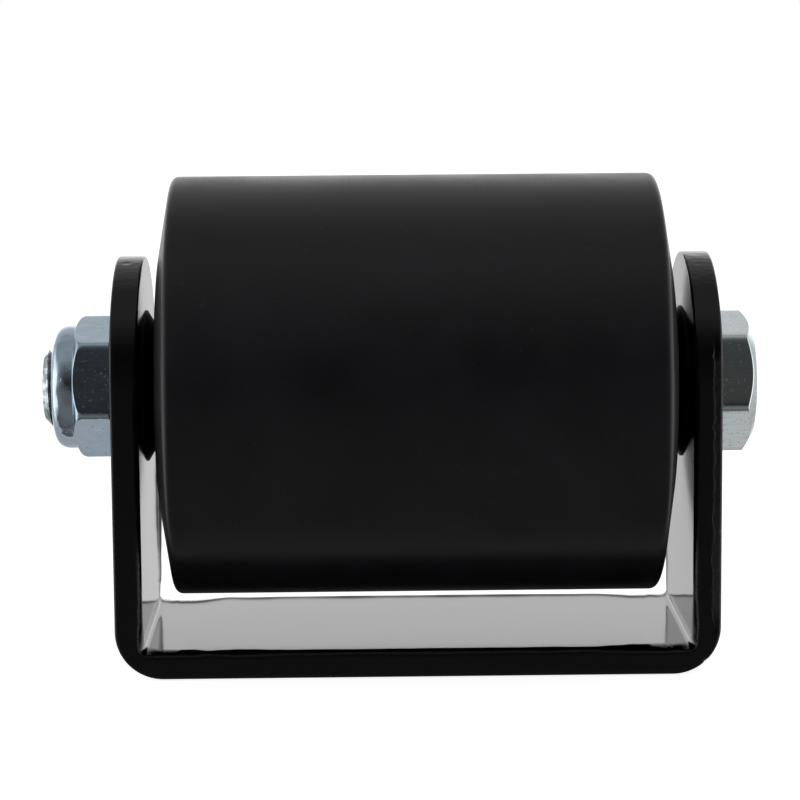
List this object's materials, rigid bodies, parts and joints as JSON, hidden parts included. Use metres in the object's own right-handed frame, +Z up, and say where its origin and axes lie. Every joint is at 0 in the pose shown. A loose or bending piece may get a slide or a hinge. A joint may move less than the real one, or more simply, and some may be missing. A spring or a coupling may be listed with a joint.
{
  "type": "bow roller",
  "caption": "Wide cylindrical roller turning on a through bolt, carried between the two upright ears of a bent flat-bar yoke with a flat base.",
  "frame": {"origin": "centre of the yoke's flat underside", "axes": "+X along the axle towards the bolt head, +Y to the back, +Z up from the base to the roller"},
  "size_m": [0.1356, 0.08, 0.092],
  "materials": {
    "yoke_paint": "gloss black paint on mild steel, slight orange peel",
    "roller_nylon": "satin black solid nylon, fine turning marks",
    "sleeve_steel": "bright zinc-plated tube",
    "bush_acetal": "black acetal",
    "collar_nylon": "black nylon",
    "bolt_zinc": "bright zinc plate with a pale blue tint",
    "nut_zinc": "bright zinc plate with a pale blue tint",
    "insert_nylon": "natural nylon"
  },
  "bodies": {
    "yoke": {"yoke_bracket": "yoke_paint", "axle_sleeve": "sleeve_steel", "axle_bolt": "bolt_zinc", "lock_nut": "nut_zinc", "lock_nut_insert": "insert_nylon"},
    "roller": {"roller_body": "roller_nylon", "bush_left": "bush_acetal", "bush_right": "bush_acetal"},
    "collar_left": {"thrust_collar_left": "collar_nylon"},
    "collar_right": {"thrust_collar_right": "collar_nylon"}
  },
  "joints": [
    {"name": "roller_spin", "type": "hinge", "parent": "yoke", "child": "roller", "pos_m": [0, 0, 0.052], "axis": [1, 0, 0], "continuous": true},
    {"name": "collar_left_spin", "type": "hinge", "parent": "yoke", "child": "collar_left", "pos_m": [0, 0, 0.052], "axis": [1, 0, 0], "continuous": true},
    {"name": "collar_right_spin", "type": "hinge", "parent": "yoke", "child": "collar_right", "pos_m": [0, 0, 0.052], "axis": [1, 0, 0], "continuous": true}
  ]
}
